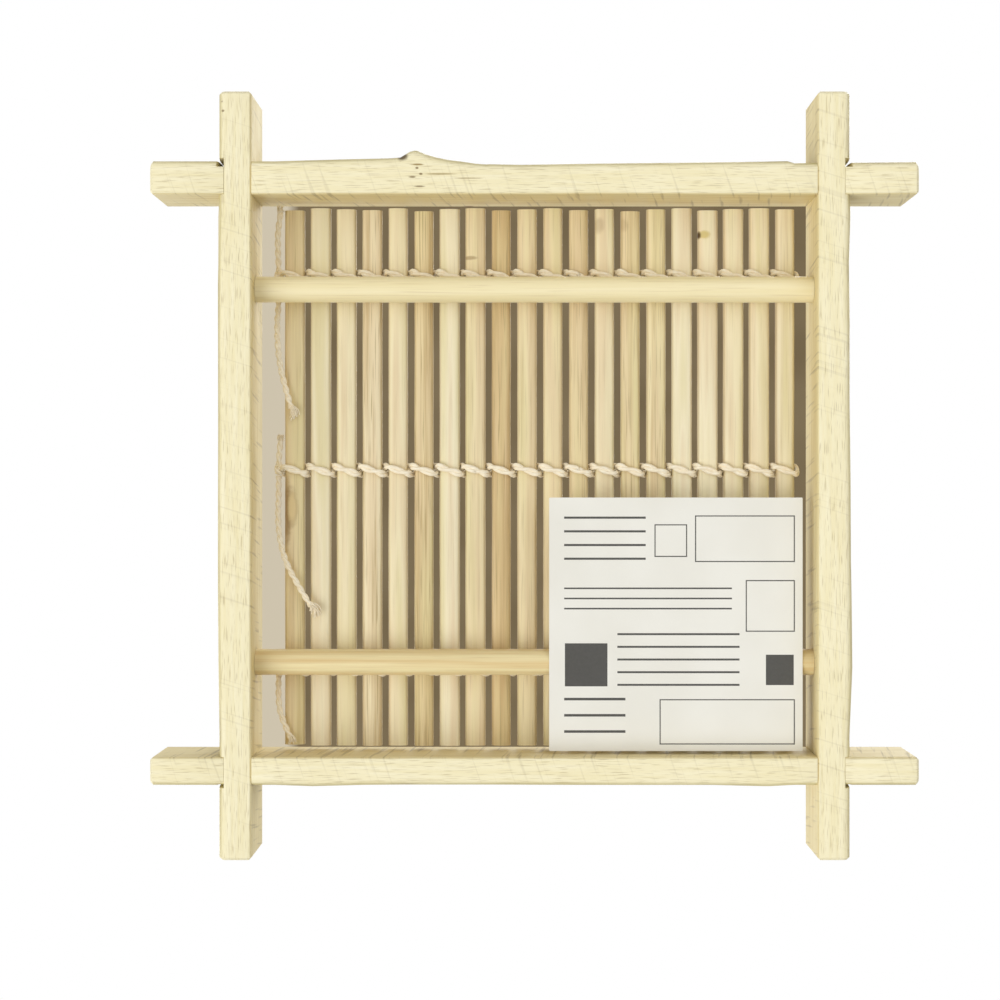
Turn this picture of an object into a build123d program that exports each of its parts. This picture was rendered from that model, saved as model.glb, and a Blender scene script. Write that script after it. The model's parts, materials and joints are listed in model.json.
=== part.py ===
from build123d import *
import math
import os

# A small bamboo serving tray with a loose slat mat in it.
# Four split-bamboo bars are cross-lapped at the corners and run past them as short arms.
# Two round rods stand in blind bores of the side bars and carry the mat.
# The mat is a row of bamboo slats, held together by three rows of two-strand twining.
# Millimetres. The tray stands on its bars, +Z up, +X to the right, +Y to the back.
# The origin is the middle of the footprint, on the surface that the tray stands on.

# Frame bars
bar_length = 180.0
bar_height = 20.0
side_bar_inset = 23.7
end_bar_inset = 24.1
side_bar_thickness = 8.2
front_bar_thickness = 8.0
back_bar_thickness = 7.2
skin_crown = 0.8
skin_edge_radius = 1.8
inner_edge_bevel = 0.4
end_edge_bevel = 0.6

# Cross-laps at the corners
lap_thickness = 6.4
lap_clearance = 0.05
cut_overrun = 2.0

# Outer skin of the front bar, from its left end to its right one.
# The swelling near the middle is the node of the culm, steep on one side.
front_station_shares = (-0.5, -0.179, -0.157, -0.111, -0.063, 0.33, 0.5)
front_thickness_shares = (1.06, 1.06, 1.27, 1.04, 0.92, 1.0, 1.04)

# Rods
rod_diameter = 6.2
rod_axis_height = 9.0
front_rod_inset = 21.4
back_rod_inset = 21.6
bore_depth = 4.5
bore_clearance = 0.05
rod_end_gap = 0.3
rod_end_bevel = 0.4

# Slats
slat_count = 20
slat_gap = 1.32
slat_thickness = 2.8
slat_crown = 0.35
slat_upper_bevel = 0.3
slat_lower_radius = 0.6
mat_side_gap = 4.1
mat_end_gap = 1.2
mat_place = 1.4
mat_seat_clearance = 0.1

# How each split slat differs, from left to right.
slat_width_shares = (
    0.98, 1.0, 0.98, 0.97, 0.95, 0.94, 1.0, 1.0, 0.94, 0.97,
    0.95, 0.94, 0.95, 0.95, 0.95, 1.0, 1.0, 1.0, 1.0, 0.93,
)
slat_length_shares = (
    0.994, 1.0, 0.998, 0.997, 1.0, 0.995, 0.999, 1.0, 0.996, 0.998,
    1.0, 0.997, 0.999, 0.995, 0.998, 1.0, 0.996, 0.999, 1.0, 0.998,
)
slat_shift_shares = (
    0.002, 0.001, 0.002, 0.003, 0.001, 0.004, 0.002, 0.001, 0.003, 0.002,
    0.001, 0.003, 0.002, 0.004, 0.002, 0.001, 0.003, 0.002, 0.001, 0.002,
)

# Twine. A strand is squeezed flat where it passes between two slats.
twine_diameter = 1.8
twine_sides = 6
strand_width = 1.7
strand_clearance = 0.1
strand_side_clearance = 0.11
strand_bend = 0.5
strand_outline_shares = ((1, 0), (0.55, 1), (-0.55, 1), (-1, 0), (-0.55, -1), (0.55, -1))
front_row_inset = 16.5
middle_row_place = -1.5
back_row_inset = 18.3

# Knots beside the first slat. Each loose end starts in the middle of a knot's flat end.
# Its points are steps from there: across, along the slat and up.
knot_diameter = 2.9
knot_length = 2.8
knot_rim = 0.45
arc_share = 0.45
front_stub_route = ((0, 0, 0), (-0.1, -4.4, -0.6), (-0.1, -9.3, -1.8), (0.8, -13.6, -2.7))
middle_stub_route = ((0, 0, 0), (0.1, -2.7, -0.1), (0.5, -5.6, -0.3))
back_stub_route = ((0, 0, 0), (-0.1, 4.7, -0.8), (0.7, 10.0, -2.4), (3.2, 14.9, -2.9))
front_tail_route = (
    (0, 0, 0), (0, 4.7, 0), (-0.3, 10.2, -1.2),
    (0.1, 17.4, -2.5), (1.5, 24.3, -2.9), (3.4, 30.4, -3.0),
)
middle_tail_route = (
    (0, 0, 0), (0, 4.9, 0), (-0.1, 11.3, -1.4),
    (1.2, 18.8, -2.8), (4.3, 25.3, -3.1), (8.1, 31.2, -3.2),
)

# Paper label
label_side = 60.0
label_thickness = 0.3
label_clearance = 0.05
label_right_gap = 2.8
label_back_gap = 0.8

os.makedirs("parts", exist_ok=True)
pieces = {}

# Frame

opening_width = bar_length - 2 * side_bar_inset
opening_depth = bar_length - 2 * end_bar_inset
side_inner = opening_width / 2
end_inner = opening_depth / 2
mid_height = bar_height / 2
front_rod_place = front_rod_inset - end_inner
back_rod_place = end_inner - back_rod_inset


def bar_section(thickness, inset=0):
    """Section of a split culm: flat inside, bowed skin outside, its edges worn round."""
    skin = thickness - inset
    skin_edge = skin - skin_crown
    half = bar_height / 2 - inset
    with BuildSketch() as section:
        with BuildLine():
            Polyline((skin_edge, -half), (inset, -half), (inset, half), (skin_edge, half))
            ThreePointArc((skin_edge, half), (skin, 0), (skin_edge, -half))
        make_face()
        fillet(section.vertices().group_by(Axis.X)[-1], skin_edge_radius)
        chamfer(section.vertices().group_by(Axis.X)[0], inner_edge_bevel)
    return section.sketch.faces()[0]


def even_bar(thickness):
    """A bar of one thickness, its inner face on the local YZ plane, its length along local Z."""
    blank = extrude(bar_section(thickness), bar_length / 2, both=True)
    ends = blank.faces().filter_by(Plane.XY)
    return chamfer(ends.edges(), end_edge_bevel)


def culm_bar(thickness, station_shares, thickness_shares):
    """A bar whose skin swells at the culm's node, as a loft from station to station."""
    stations = [share * bar_length for share in station_shares]
    skins = [share * thickness for share in thickness_shares]
    stations[0] += end_edge_bevel
    stations[-1] -= end_edge_bevel
    sections = [Pos(0, 0, at) * bar_section(skin) for at, skin in zip(stations, skins)]
    first_end = Pos(0, 0, -bar_length / 2) * bar_section(skins[0], end_edge_bevel)
    last_end = Pos(0, 0, bar_length / 2) * bar_section(skins[-1], end_edge_bevel)
    return loft([first_end, *sections, last_end], ruled=True)


def cross_lap(opening, far_thickness, near_thickness, upper):
    """What is cut from a bar at both corners: half its height, and the skin beside it."""
    half = bar_height / 2
    slot_start = opening / 2 - lap_clearance
    slot_length = lap_thickness + 2 * lap_clearance
    reach = 2 * bar_height
    low = -lap_clearance if upper else -half - cut_overrun
    high = half + cut_overrun if upper else lap_clearance
    cuts = []
    for side, crossing_thickness in ((1, far_thickness), (-1, near_thickness)):
        trim_length = crossing_thickness + 2 * lap_clearance
        slot = Box(reach, high - low, slot_length)
        slot_z = side * (slot_start + slot_length / 2)
        cuts.append(Pos(0, (high + low) / 2, slot_z) * slot)
        trim = Box(reach, bar_height + 2 * cut_overrun, trim_length)
        trim_z = side * (slot_start + trim_length / 2)
        cuts.append(Pos(lap_thickness + reach / 2, 0, trim_z) * trim)
    return cuts


def bores(places):
    """Blind bores from the inner face, at places along the bar."""
    depth = bore_depth + cut_overrun
    bore = Cylinder(rod_diameter / 2 + bore_clearance, depth, rotation=(0, 90, 0))
    height = rod_axis_height - mid_height
    return [Pos(bore_depth - depth / 2, height, place) * bore for place in places]


left_frame = Plane((-side_inner, 0, mid_height), x_dir=(-1, 0, 0), z_dir=(0, 1, 0))
right_frame = Plane((side_inner, 0, mid_height), x_dir=(1, 0, 0), z_dir=(0, -1, 0))
front_frame = Plane((0, -end_inner, mid_height), x_dir=(0, -1, 0), z_dir=(-1, 0, 0))
back_frame = Plane((0, end_inner, mid_height), x_dir=(0, 1, 0), z_dir=(1, 0, 0))

front_arm_thickness = front_bar_thickness * front_thickness_shares[0]
left_laps = cross_lap(opening_depth, back_bar_thickness, front_arm_thickness, True)
right_laps = cross_lap(opening_depth, front_arm_thickness, back_bar_thickness, True)
end_laps = cross_lap(opening_width, side_bar_thickness, side_bar_thickness, False)

side_blank = even_bar(side_bar_thickness)
left_bar = side_blank - left_laps - bores((front_rod_place, back_rod_place))
right_bar = side_blank - right_laps - bores((-front_rod_place, -back_rod_place))

front_shares = [-station for station in front_station_shares]
front_blank = culm_bar(front_bar_thickness, front_shares[::-1], front_thickness_shares[::-1])
front_bar = front_blank - end_laps
back_bar = even_bar(back_bar_thickness) - end_laps

pieces["left_bar"] = left_frame.location * left_bar
pieces["right_bar"] = right_frame.location * right_bar
pieces["front_bar"] = front_frame.location * front_bar
pieces["back_bar"] = back_frame.location * back_bar

# Rods

rod_length = opening_width + 2 * (bore_depth - rod_end_gap)
rod = Cylinder(rod_diameter / 2, rod_length, rotation=(0, 90, 0))
rod = chamfer(rod.edges().filter_by(GeomType.CIRCLE), rod_end_bevel)
pieces["front_rod"] = Pos(0, front_rod_place, rod_axis_height) * rod
pieces["back_rod"] = Pos(0, back_rod_place, rod_axis_height) * rod

# Slats

slat_pitch = (opening_width - 2 * mat_side_gap) / slat_count
slat_width = slat_pitch - slat_gap
slat_length = opening_depth - 2 * mat_end_gap
strand_thickness = slat_gap - 2 * strand_side_clearance
strand_reach = slat_thickness / 2 + strand_clearance + strand_thickness / 2
rod_top = rod_axis_height + rod_diameter / 2
mat_height = rod_top + mat_seat_clearance + strand_reach + strand_thickness / 2
mat_left = mat_place - slat_count * slat_pitch / 2


def slat_section(width):
    """Section of a slat: flat skin side up, the split side below a little crowned."""
    half = slat_thickness / 2
    side = width / 2
    shoulder = slat_crown - half
    with BuildSketch() as section:
        with BuildLine():
            Polyline((-side, shoulder), (-side, half), (side, half), (side, shoulder))
            ThreePointArc((side, shoulder), (0, -half), (-side, shoulder))
        make_face()
        chamfer(section.vertices().group_by(Axis.Y)[-1], slat_upper_bevel)
        fillet(section.vertices().group_by(Axis.Y)[0], slat_lower_radius)
    return section.sketch.faces()[0]


for index in range(slat_count):
    width = slat_width * slat_width_shares[index]
    length = slat_length * slat_length_shares[index]
    shift = slat_length * slat_shift_shares[index]
    slat = Plane.XZ.location * extrude(slat_section(width), length / 2, both=True)
    centre = mat_left + (index + 0.5) * slat_pitch
    pieces[f"slat_{index + 1:02d}"] = Pos(centre, shift, mat_height) * slat

# Twined rows

strand_offset = strand_width / 2 + strand_clearance / 2
front_row_place = front_row_inset - slat_length / 2
back_row_place = slat_length / 2 - back_row_inset


def crossing(index, side):
    """Where a strand passes a gap: at one side of the row's line, in mid gap."""
    return Vector(mat_left + index * slat_pitch, side * strand_offset)


def twined_line():
    """Corners of one strand: out along the row, round the last slat and back again."""
    corners = [(crossing(0, -0.5), -1)]
    level = -1
    for index in range(1, slat_count):
        corners += [(crossing(index, -level), level), (crossing(index, -level), -level)]
        level = -level
    last = crossing(slat_count, 0)
    corners += [(last, level), (last, -level)]
    level = -level
    for index in range(slat_count - 1, 0, -1):
        corners += [(crossing(index, level), level), (crossing(index, level), -level)]
        level = -level
    corners.append((crossing(0, 0.5), level))
    return [Vector(at.X, at.Y, height * strand_reach) for at, height in corners]


def bevelled(corners):
    """The strand's line with each corner cut off."""
    points = []
    for before, corner, after in zip(corners, corners[1:], corners[2:]):
        back = (before - corner).normalized()
        ahead = (after - corner).normalized()
        points += [corner + back * strand_bend, corner + ahead * strand_bend]
    return points


def strand_ring(point, before, after):
    """Corners of the strand's outline, mitred between two stretches, its flat along the slats."""
    along_slat = Vector(0, 1, 0)
    arriving = Vector(before.X, 0, before.Z).normalized()
    leaving = Vector(after.X, 0, after.Z).normalized()
    facing = (arriving + leaving).normalized()
    edgeways = along_slat.cross(facing) / facing.dot(leaving)
    return [
        point + along_slat * (across * strand_width / 2) + edgeways * (up * strand_thickness / 2)
        for across, up in strand_outline_shares
    ]


def flat_face(*corners):
    return Face(Wire.make_polygon(corners, close=True))


def strand_wall(ring, following):
    """Facets from one outline to the next, each side folded along its diagonal."""
    facets = []
    for side, near in enumerate(ring):
        near_next = ring[side - 1]
        far_next = following[side - 1]
        facets.append(flat_face(near_next, near, following[side]))
        facets.append(flat_face(near_next, following[side], far_next))
    return facets


def twined_strand(starting, ending):
    """One unbroken strand, woven both ways, as a faceted skin over its outlines."""
    corners = twined_line()
    low = corners[0].Z
    first = Vector(corners[0].X, corners[0].Y, low + starting)
    final = Vector(corners[-1].X, corners[-1].Y, corners[-1].Z - ending)
    points = [first, *bevelled([first, *corners, final]), final]
    steps = [(b - a).normalized() for a, b in zip(points, points[1:])]
    rings = [
        strand_ring(point, before, after)
        for point, before, after in zip(points, [steps[0], *steps], [*steps, steps[-1]])
    ]
    skin = [flat_face(*reversed(rings[0])), flat_face(*rings[-1])]
    for ring, following in zip(rings, rings[1:]):
        skin += strand_wall(ring, following)
    return Solid(Shell(skin))


def loose_end(name, start, route):
    """A tube of twine along straight runs that are joined by tangent arcs."""
    points = [start + Vector(*step) for step in route]
    steps = [b - a for a, b in zip(points, points[1:])]
    radii = [
        arc_share * min(before.length, after.length)
        / math.tan(math.radians(before.get_angle(after)) / 2)
        for before, after in zip(steps, steps[1:])
    ]
    path = FilletPolyline(*points, radius=radii)
    section = Plane(path @ 0, z_dir=path % 0) * RegularPolygon(twine_diameter / 2, twine_sides)
    tube = sweep(section, path=path)
    even = section.area * path.length
    print(name, "length", round(path.length, 1), "radii", [round(r, 1) for r in radii])
    print(name, "volume", round(tube.volume, 2), "section by length", round(even, 2))
    return tube


first_slat_width = slat_width * slat_width_shares[0]
first_slat_edge = mat_left + (slat_pitch - first_slat_width) / 2
knot_x = first_slat_edge - strand_clearance - knot_diameter / 2


def knot_face(place, side):
    """Middle of a knot's flat end, on one side of its row."""
    return Vector(knot_x, place + side * knot_length / 2, mat_height)


def twined_row(name, place, route):
    """A row's whole twine: the woven strand, its knot and the short end."""
    side = 1 if route[-1][1] > 0 else -1
    lump = Cylinder(knot_diameter / 2, knot_length, rotation=(90, 0, 0))
    lump = chamfer(lump.edges().filter_by(GeomType.CIRCLE), knot_rim)
    lump = Pos(knot_x, place, mat_height) * lump
    stub = loose_end(f"{name} short end", knot_face(place, side), route)
    return Pos(0, place, mat_height) * strand + lump + stub


strand = twined_strand(strand_reach, strand_reach)
pieces["front_twine"] = twined_row("front_twine", front_row_place, front_stub_route)
pieces["middle_twine"] = twined_row("middle_twine", middle_row_place, middle_stub_route)
pieces["back_twine"] = twined_row("back_twine", back_row_place, back_stub_route)
front_start = knot_face(front_row_place, 1)
middle_start = knot_face(middle_row_place, 1)
pieces["front_tail"] = loose_end("front_tail", front_start, front_tail_route)
pieces["middle_tail"] = loose_end("middle_tail", middle_start, middle_tail_route)

# Paper label

label = Box(label_side, label_side, label_thickness)
label_x = side_inner - label_right_gap - label_side / 2
label_y = end_inner - label_back_gap - label_side / 2
label_height = rod_axis_height - rod_diameter / 2 - label_clearance - label_thickness / 2
pieces["paper_label"] = Pos(label_x, label_y, label_height) * label

for name, piece in pieces.items():
    solids = piece.solids()
    export_step(solids[0] if len(solids) == 1 else piece, f"parts/{name}.step")
    print(name, len(solids), round(piece.volume, 2))
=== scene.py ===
# %% [markdown]
# A small bamboo serving tray, seen from below.
# Four bars of split bamboo are cross-lapped into a square, two round rods run through it,
# and a loose mat of twined slats lies on the rods.
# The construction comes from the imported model. This lesson dresses it: the split wood,
# the slats, the twisted twine and the paper label.

# %% Load the fixed frame
import bpy
import bmesh
import json
import math
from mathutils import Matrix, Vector, noise


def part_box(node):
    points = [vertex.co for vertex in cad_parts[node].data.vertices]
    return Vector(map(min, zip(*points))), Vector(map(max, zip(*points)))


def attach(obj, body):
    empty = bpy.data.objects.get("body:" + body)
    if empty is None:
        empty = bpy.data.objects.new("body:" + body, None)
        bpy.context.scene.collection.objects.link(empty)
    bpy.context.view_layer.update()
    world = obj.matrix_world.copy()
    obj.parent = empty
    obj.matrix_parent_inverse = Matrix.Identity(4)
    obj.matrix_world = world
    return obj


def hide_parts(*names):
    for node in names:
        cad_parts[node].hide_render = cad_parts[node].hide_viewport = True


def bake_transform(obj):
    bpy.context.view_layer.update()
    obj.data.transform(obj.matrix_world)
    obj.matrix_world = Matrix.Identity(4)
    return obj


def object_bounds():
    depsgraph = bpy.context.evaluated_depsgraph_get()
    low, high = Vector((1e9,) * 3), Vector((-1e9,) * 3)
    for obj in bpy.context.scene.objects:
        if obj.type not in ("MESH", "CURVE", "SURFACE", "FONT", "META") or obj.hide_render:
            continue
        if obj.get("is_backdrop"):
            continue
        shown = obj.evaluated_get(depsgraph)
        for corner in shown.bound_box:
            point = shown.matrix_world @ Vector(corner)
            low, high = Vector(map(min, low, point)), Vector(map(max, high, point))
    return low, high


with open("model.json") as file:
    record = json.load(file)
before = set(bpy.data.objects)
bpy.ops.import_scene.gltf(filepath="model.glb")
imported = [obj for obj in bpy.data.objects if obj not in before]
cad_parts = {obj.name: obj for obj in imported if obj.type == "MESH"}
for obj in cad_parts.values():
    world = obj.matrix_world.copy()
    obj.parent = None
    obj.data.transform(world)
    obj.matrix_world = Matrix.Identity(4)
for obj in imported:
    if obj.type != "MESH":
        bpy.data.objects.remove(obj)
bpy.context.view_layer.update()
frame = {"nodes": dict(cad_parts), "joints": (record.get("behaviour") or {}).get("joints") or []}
MM = 0.001

# %% [markdown]
# Everything in the mat is placed from the frame. The hinges between the slats stand in the
# middle of the gaps, so their places give the pitch of the slats and the height of the mat.

# %% Places and sizes that come from the frame
hinges = {joint["name"]: joint for joint in frame["joints"] if joint["type"] == "hinge"}
gap_places = sorted(joint["pos_m"][0] for joint in hinges.values())
pitch = (gap_places[-1] - gap_places[0]) / (len(gap_places) - 1)
mat_height = hinges["mat_roll"]["pos_m"][2]
mat_left = gap_places[0] - pitch
slat_names = sorted(name for name in frame["nodes"] if name.startswith("slat_"))
slat_low, slat_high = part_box(slat_names[0])
slat_thickness = slat_high.z - slat_low.z
print(len(slat_names), "slats, pitch", round(pitch / MM, 2), "mm, at", round(mat_height / MM, 2))

# %% [markdown]
# Materials, the sky and the grown shapes are all node trees. A few short helpers write them:
# each makes a node in the tree that its values come from, feeds its inputs and hands back
# what the next node needs.

# %% Helpers for objects and node trees


def place_object(name, data):
    """A new object in the scene, at the origin."""
    made = bpy.data.objects.new(name, data)
    bpy.context.scene.collection.objects.link(made)
    return made


def feed(value, socket):
    """Feeds a socket with an output, with a node's first output, or with a plain value."""
    if isinstance(value, bpy.types.Node):
        value = value.outputs[0]
    if isinstance(value, bpy.types.NodeSocket):
        socket.id_data.links.new(value, socket)
    else:
        socket.default_value = value


def add_node(tree, kind, inputs=None, **settings):
    """A node with its settings made and its inputs fed, each by its name or number."""
    made = tree.nodes.new(kind)
    for name, value in settings.items():
        setattr(made, name, value)
    for key, value in (inputs or {}).items():
        feed(value, made.inputs[key])
    return made


def tree_of(*values):
    """The tree that the first node or output among the values belongs to."""
    kinds = (bpy.types.Node, bpy.types.NodeSocket)
    return next(value.id_data for value in values if isinstance(value, kinds))


def math_node(operation, *values):
    """The result of a Math node."""
    inputs = dict(enumerate(values))
    return add_node(tree_of(*values), "ShaderNodeMath", inputs, operation=operation).outputs[0]


def times(first, second):
    """The product of two values."""
    return math_node("MULTIPLY", first, second)


def minus(first, second):
    """The difference of two values."""
    return math_node("SUBTRACT", first, second)


def vector_node(operation, *values, scale=None):
    """The result of a Vector Math node."""
    inputs = dict(enumerate(values))
    if scale is not None:
        inputs["Scale"] = scale
    made = add_node(tree_of(*values, scale), "ShaderNodeVectorMath", inputs, operation=operation)
    return made.outputs["Value" if operation in ("DOT_PRODUCT", "LENGTH") else "Vector"]


def axes(vector):
    """The X, Y and Z of a vector."""
    return add_node(tree_of(vector), "ShaderNodeSeparateXYZ", {0: vector}).outputs


def combined(**values):
    """A vector from the given X, Y and Z, and zero where none is given."""
    return add_node(tree_of(*values.values()), "ShaderNodeCombineXYZ", values)


def drawn_out(vector, scale):
    """Coordinates scaled along each axis by a Mapping node."""
    inputs = {"Scale": scale, "Vector": vector}
    return add_node(tree_of(vector), "ShaderNodeMapping", inputs)


def noise_node(vector, scale, detail=2.0, roughness=0.5):
    """A noise texture at the given coordinates."""
    inputs = {"Vector": vector, "Scale": scale, "Detail": detail, "Roughness": roughness}
    return add_node(tree_of(vector), "ShaderNodeTexNoise", inputs)


def mixed(share, low, high):
    """A colour between two others."""
    inputs = {0: share, 6: low, 7: high}
    return add_node(tree_of(share), "ShaderNodeMix", inputs, data_type="RGBA").outputs[2]


def ranged(value, low, high, to_low=0.0, to_high=1.0):
    """A value stretched from one range to another, and held inside it."""
    inputs = {"Value": value, "From Min": low, "From Max": high}
    inputs.update({"To Min": to_low, "To Max": to_high})
    return add_node(tree_of(value), "ShaderNodeMapRange", inputs).outputs[0]


def attribute(tree, name):
    """A value that the mesh carries under a name."""
    return add_node(tree, "ShaderNodeAttribute", attribute_name=name).outputs["Fac"]


def new_tree(name, kind, inputs, outputs):
    """A node tree, with its first node's outputs and its last node's inputs.
    The sockets are given as (name, kind, value)."""
    tree = bpy.data.node_groups.new(name, kind)
    for way, sockets in (("INPUT", inputs), ("OUTPUT", outputs)):
        for label, socket_kind, value in sockets:
            socket = tree.interface.new_socket(
                label, in_out=way, socket_type=f"NodeSocket{socket_kind}"
            )
            if value is not None:
                socket.default_value = value
    first = add_node(tree, "NodeGroupInput")
    return tree, first.outputs, add_node(tree, "NodeGroupOutput").inputs


def new_material(name):
    """An empty material, its tree and the socket for its surface."""
    material = bpy.data.materials.new(name)
    material.use_nodes = True
    material.node_tree.nodes.clear()
    output = add_node(material.node_tree, "ShaderNodeOutputMaterial")
    return material, material.node_tree, output.inputs["Surface"]


def finished(surface, height, strength, depth, looks):
    """The Principled shader of a material, with a bump of that strength and depth."""
    inputs = {"Height": height, "Strength": strength, "Distance": depth}
    bump = add_node(surface.id_data, "ShaderNodeBump", inputs)
    looks = {"Normal": bump, **looks}
    feed(add_node(surface.id_data, "ShaderNodeBsdfPrincipled", looks), surface)


def srgb(red, green, blue):
    """A colour as it is written in a picture, from 0 to 255, as shader values."""
    levels = [level / 255 for level in (red, green, blue)]
    return [v / 12.92 if v <= 0.04045 else ((v + 0.055) / 1.055) ** 2.4 for v in levels] + [1]


# %% [markdown]
# The camera looks straight up at the underside, from where the photographer stood.
# A perspective this close shows the inner faces of the bars as narrow strips, so its distance
# matters more than its lens: the lens only fills the picture.

# %% Camera
CAMERA_PLACE = Vector((-2.93 * MM, 4.97 * MM, -456 * MM))
CAMERA_SETTINGS = {
    "lens": 70.19,
    "sensor_width": 36.0,
    "shift_x": -0.022,
    "shift_y": -0.003,
    "clip_start": 0.01,
}
camera_data = bpy.data.cameras.new("underside_camera")
for name, value in CAMERA_SETTINGS.items():
    setattr(camera_data, name, value)
camera = place_object("underside_camera", camera_data)
camera.location = CAMERA_PLACE
camera.rotation_euler = (math.pi, 0, 0)
bpy.context.scene.camera = camera
print("camera", round(-CAMERA_PLACE.z / MM), "mm below the tray")

# %% [markdown]
# A plain pale floor carries the tray in the views from above. The main camera looks up through
# it, so it is one-sided: its back is transparent, and it holds back no light from below.

# %% Floor
FLOOR_DROP = 0.3 * MM
FLOOR_REACH = 30.0
FLOOR_COLOUR = (0.985, 0.985, 0.98, 1)

floor_mesh = bpy.data.meshes.new("floor")
quarters = ((-1, -1), (1, -1), (1, 1), (-1, 1))
floor_corners = [(x * FLOOR_REACH, y * FLOOR_REACH, -FLOOR_DROP) for x, y in quarters]
floor_mesh.from_pydata(floor_corners, [], [(0, 1, 2, 3)])
floor = place_object("floor", floor_mesh)
floor_material, tree, surface = new_material("pale_floor")
top = add_node(tree, "ShaderNodeBsdfDiffuse", {"Color": FLOOR_COLOUR})
back = add_node(tree, "ShaderNodeBsdfTransparent")
away = add_node(tree, "ShaderNodeNewGeometry").outputs["Backfacing"]
feed(add_node(tree, "ShaderNodeMixShader", {0: away, 1: top, 2: back}), surface)
floor_mesh.materials.append(floor_material)
floor.visible_shadow = False
floor.visible_diffuse = False
floor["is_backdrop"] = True
print("floor", FLOOR_DROP / MM, "mm under the bars")

# %% [markdown]
# Soft light comes from above and from below, so the tray is evenly lit from any side.
# The lamps are wide suns: far away, they light the near and the far floor alike.

# %% Lamps
LAMP_ANGLE = math.radians(50)
LAMPS = {
    "key_below": ((-0.62, 0.28, -0.8), 1.5),
    "fill_below": ((0.5, -0.4, -0.8), 0.56),
    "key_above": ((0.45, -0.5, 0.85), 1.35),
    "fill_above": ((-0.6, 0.45, 0.7), 0.75),
}
for name, (direction, strength) in LAMPS.items():
    lamp_data = bpy.data.lights.new(name, "SUN")
    lamp_data.angle = LAMP_ANGLE
    lamp_data.energy = strength
    lamp = place_object(name, lamp_data)
    lamp.location = Vector(direction).normalized()
    lamp.rotation_euler = Vector(direction).to_track_quat("Z", "Y").to_euler()
print(len(LAMPS), "soft lamps")

# %% [markdown]
# The world gives even light, and the camera sees it white. Only what lies behind the opening
# is dark: a square patch of sky round the direction of the tray, made of plain maths on the
# direction itself. This patch is painted shade: it stands for a table in the tray's shadow,
# seen through the gaps and mottled by noise. Its left side carries painted light, where the
# wider gap at the left lets more light in. A card behind the tray would do the same, but it
# would throw shadows.

# %% World
WORLD_LIGHT = (0.47, 0.47, 0.475, 1)
SKY_WHITE = (1, 1, 1, 1)
# Painted shade: the dark colours of a table in the tray's shadow. The left colour is painted light,
# where the wider gap lets more light in.
SKY_PAINTED_SHADE = (0.148, 0.108, 0.056, 1)
SKY_PAINTED_SHADE_PALE = (0.245, 0.19, 0.112, 1)
SKY_PAINTED_LIGHT_LEFT = (0.62, 0.55, 0.42, 1)
SKY_HALF_WIDTH = 0.1495
SKY_MIDDLE = {"X": 0.0063, "Y": -0.0107}
SKY_SOFTNESS = 0.002
SKY_LEFT_EDGE = -0.1205
SKY_LEFT_SOFTNESS = 0.006
CLOUD_SCALE = 26.0

world = bpy.data.worlds.new("plain_world")
bpy.context.scene.world = world
world.use_nodes = True
tree = world.node_tree
tree.nodes.clear()
sky = add_node(tree, "ShaderNodeTexCoord").outputs["Generated"]
parts = axes(sky)
shares = {axis: math_node("DIVIDE", parts[axis], parts["Z"]) for axis in "XY"}
off_middle = [minus(shares[axis], SKY_MIDDLE[axis]) for axis in "XY"]
widest = math_node("MAXIMUM", *[math_node("ABSOLUTE", off) for off in off_middle])
inside = ranged(widest, SKY_HALF_WIDTH + SKY_SOFTNESS, SKY_HALF_WIDTH - SKY_SOFTNESS)
patch = times(inside, math_node("GREATER_THAN", parts["Z"], 0))
# Painted light: the left strip of the painted shade is lighter, for the wider gap there.
painted_light_left = ranged(shares["X"], SKY_LEFT_EDGE + SKY_LEFT_SOFTNESS, SKY_LEFT_EDGE)
uneven = mixed(noise_node(sky, CLOUD_SCALE), SKY_PAINTED_SHADE, SKY_PAINTED_SHADE_PALE)
behind = mixed(painted_light_left, uneven, SKY_PAINTED_LIGHT_LEFT)
seen = add_node(tree, "ShaderNodeBackground", {"Color": mixed(patch, SKY_WHITE, behind)})
light = add_node(tree, "ShaderNodeBackground", {"Color": WORLD_LIGHT})
rays = add_node(tree, "ShaderNodeLightPath").outputs
direct = math_node("MAXIMUM", rays["Is Camera Ray"], rays["Is Transmission Ray"])
direct = math_node("MAXIMUM", direct, rays["Is Glossy Ray"])
chosen = add_node(tree, "ShaderNodeMixShader", {0: direct, 1: light, 2: seen})
add_node(tree, "ShaderNodeOutputWorld", {"Surface": chosen})
bpy.context.scene.view_settings.view_transform = "Standard"
print("white world with a dark patch of", 2 * SKY_HALF_WIDTH, "wide behind the mat")

# %% [markdown]
# Bamboo has no rings. It is a bundle of straight fibres in pale pith, so its grain is long
# streaks with short dark dashes where a bundle is cut. One node group draws that for all the
# bamboo pieces: a noise texture that the Mapping node in each material stretches along the piece.

# %% Node group: bamboo grain
DASHES_PER_STREAK = 5.0
grain, given, leaving = new_tree(
    "Bamboo grain",
    "ShaderNodeTree",
    [("Vector", "Vector", None), ("Fineness", "Float", 900.0), ("Dash Amount", "Float", 0.5)],
    [("Streak", "Float", None), ("Dash", "Float", None), ("Height", "Float", None)],
)
broad = noise_node(given["Vector"], given["Fineness"], detail=3.0, roughness=0.65)
streak = ranged(broad, 0.3, 0.7)
finer = times(given["Fineness"], DASHES_PER_STREAK)
short = noise_node(given["Vector"], finer, detail=1.0)
dashed = times(ranged(short, 0.58, 0.7), given["Dash Amount"])
feed(streak, leaving["Streak"])
feed(dashed, leaving["Dash"])
feed(minus(streak, dashed), leaving["Height"])
print("grain group with", len(grain.nodes), "nodes")

# %% [markdown]
# Scars, stains and knots are soft ovals at a place. The same group makes each of them from
# a centre and a size, and puts out a mask.

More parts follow.
